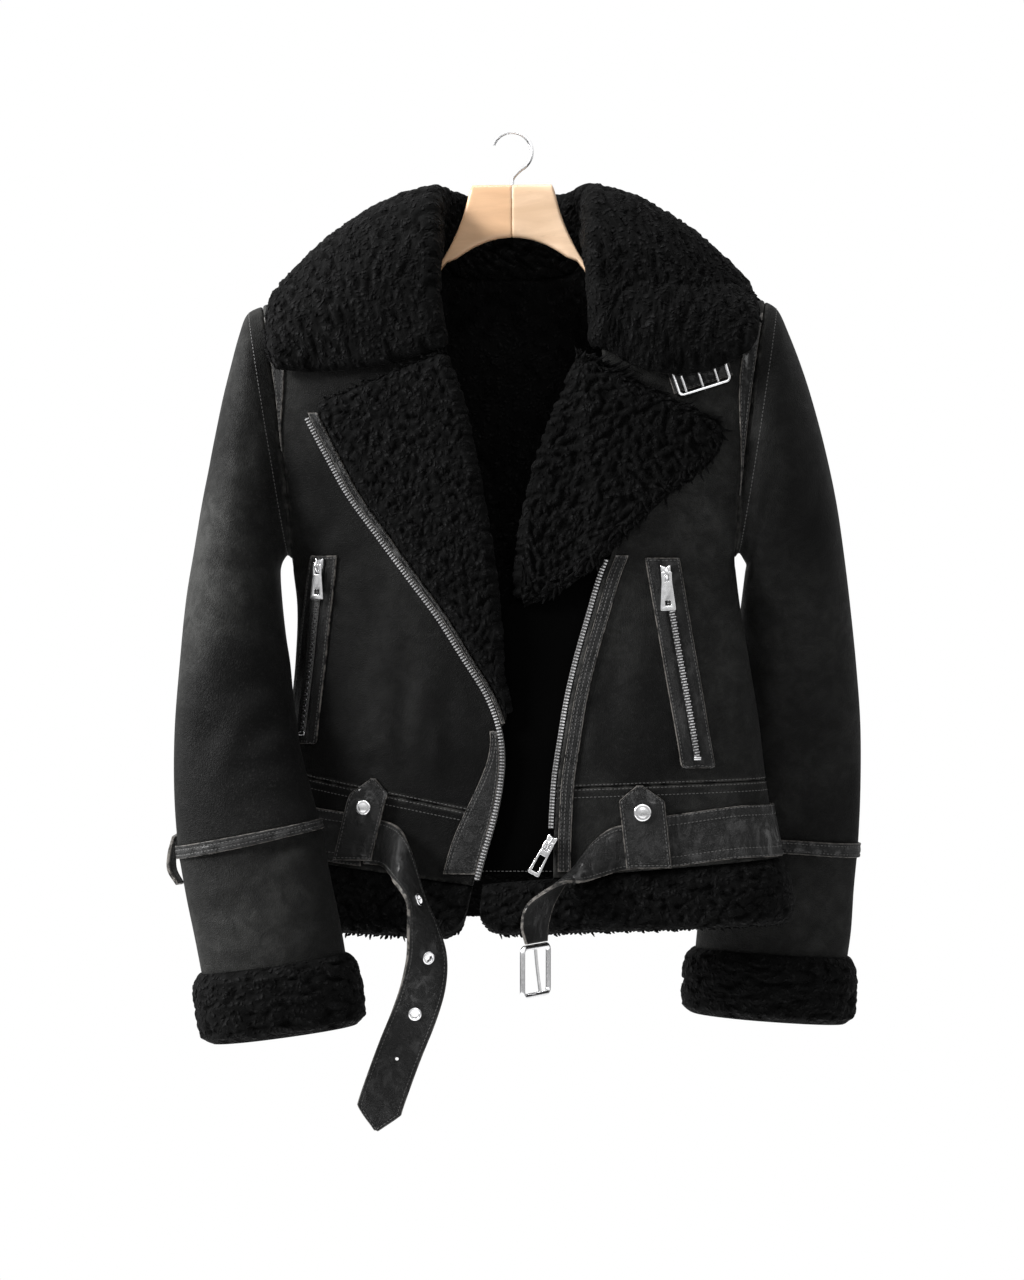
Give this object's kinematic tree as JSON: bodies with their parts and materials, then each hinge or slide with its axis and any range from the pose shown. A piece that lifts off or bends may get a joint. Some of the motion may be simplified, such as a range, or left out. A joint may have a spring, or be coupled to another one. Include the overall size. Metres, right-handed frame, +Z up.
{
  "type": "biker jacket on a wooden hanger",
  "caption": "Black shearling biker jacket with a wide wool collar, lapels, zips and a hanging belt, held open on a two-tone wooden hanger.",
  "frame": {"origin": "inside top of the hanger hook's bend, where a rail carries it", "axes": "+Z up, the jacket's front faces -Y, +X is the viewer's right when facing the front"},
  "size_m": [0.5973, 0.2466, 0.8489],
  "materials": {
    "suede_black": "matt nappa-suede side of sheepskin",
    "leather_black": "smooth, slightly glossy black leather",
    "wool_black": "curly black sheepskin wool",
    "metal_silver": "polished silver-coloured metal",
    "wood_pale": "pale lacquered wood",
    "wood_warm": "slightly darker lacquered wood"
  },
  "bodies": {
    "jacket": {"armhole_strip_left": "leather_black", "armhole_strip_right": "leather_black", "back_panel": "suede_black", "belt_band": "leather_black", "belt_buckle_strap": "leather_black", "belt_loop_back_left": "leather_black", "belt_loop_back_right": "leather_black", "belt_loop_left": "leather_black", "belt_loop_right": "leather_black", "belt_tail": "leather_black", "collar": "wool_black", "cuff_left": "wool_black", "cuff_right": "wool_black", "elbow_band_left": "leather_black", "elbow_band_right": "leather_black", "elbow_tab_left": "leather_black", "eyelet_1": "metal_silver", "eyelet_2": "metal_silver", "eyelet_3": "metal_silver", "front_facing_left": "leather_black", "front_left": "suede_black", "front_right": "suede_black", "hanger_hook": "metal_silver", "hanger_left": "wood_warm", "hanger_right": "wood_pale", "hem_fur_back": "wool_black", "hem_fur_left": "wool_black", "hem_fur_right": "wool_black", "lapel_left": "wool_black", "lapel_right": "wool_black", "lapel_strip_left": "leather_black", "pocket_chain_left": "metal_silver", "pocket_chain_right": "metal_silver", "pocket_welt_left": "leather_black", "pocket_welt_right": "leather_black", "sleeve_left_lower": "suede_black", "sleeve_left_upper": "suede_black", "sleeve_right_lower": "suede_black", "sleeve_right_upper": "suede_black", "slider_front": "metal_silver", "slider_pocket_left": "metal_silver", "slider_pocket_right": "metal_silver", "snap_left": "metal_silver", "snap_right": "metal_silver", "throat_buckle": "metal_silver", "throat_strap": "leather_black", "underlap_right": "leather_black", "waistband_back": "suede_black", "waistband_left": "suede_black", "waistband_right": "suede_black", "zip_chain_left": "metal_silver", "zip_chain_right": "metal_silver", "zip_strip_right": "leather_black"},
    "pocket_tab_left": {"pull_tab_pocket_left": "metal_silver"},
    "pocket_tab_right": {"pull_tab_pocket_right": "metal_silver"},
    "front_tab": {"pull_tab_front": "metal_silver"},
    "belt_buckle": {"belt_buckle_frame": "metal_silver"},
    "belt_prong": {"belt_prong": "metal_silver"}
  },
  "joints": [
    {"name": "pocket_tab_left_hinge", "type": "hinge", "parent": "jacket", "child": "pocket_tab_left", "pos_m": [-0.16565, -0.03072, -0.37212], "axis": [-0.8529, 0.521, 0.0334], "range_deg": [0, 150]},
    {"name": "pocket_tab_right_hinge", "type": "hinge", "parent": "jacket", "child": "pocket_tab_right", "pos_m": [0.12947, -0.07493, -0.37895], "axis": [-0.9896, -0.1343, -0.052], "range_deg": [0, 150]},
    {"name": "front_tab_hinge", "type": "hinge", "parent": "jacket", "child": "front_tab", "pos_m": [0.03164, -0.07283, -0.60582], "axis": [-0.8779, 0.0949, 0.4693], "range_deg": [0, 150]},
    {"name": "belt_buckle_hinge", "type": "hinge", "parent": "jacket", "child": "belt_buckle", "pos_m": [0.0195, -0.102, -0.69], "axis": [-0.4512, -0.8924, 0], "range_deg": [-45, 45]},
    {"name": "belt_prong_hinge", "type": "hinge", "parent": "belt_buckle", "child": "belt_prong", "pos_m": [0.0195, -0.102, -0.69], "axis": [-0.4512, -0.8924, 0], "range_deg": [0, 75]}
  ]
}
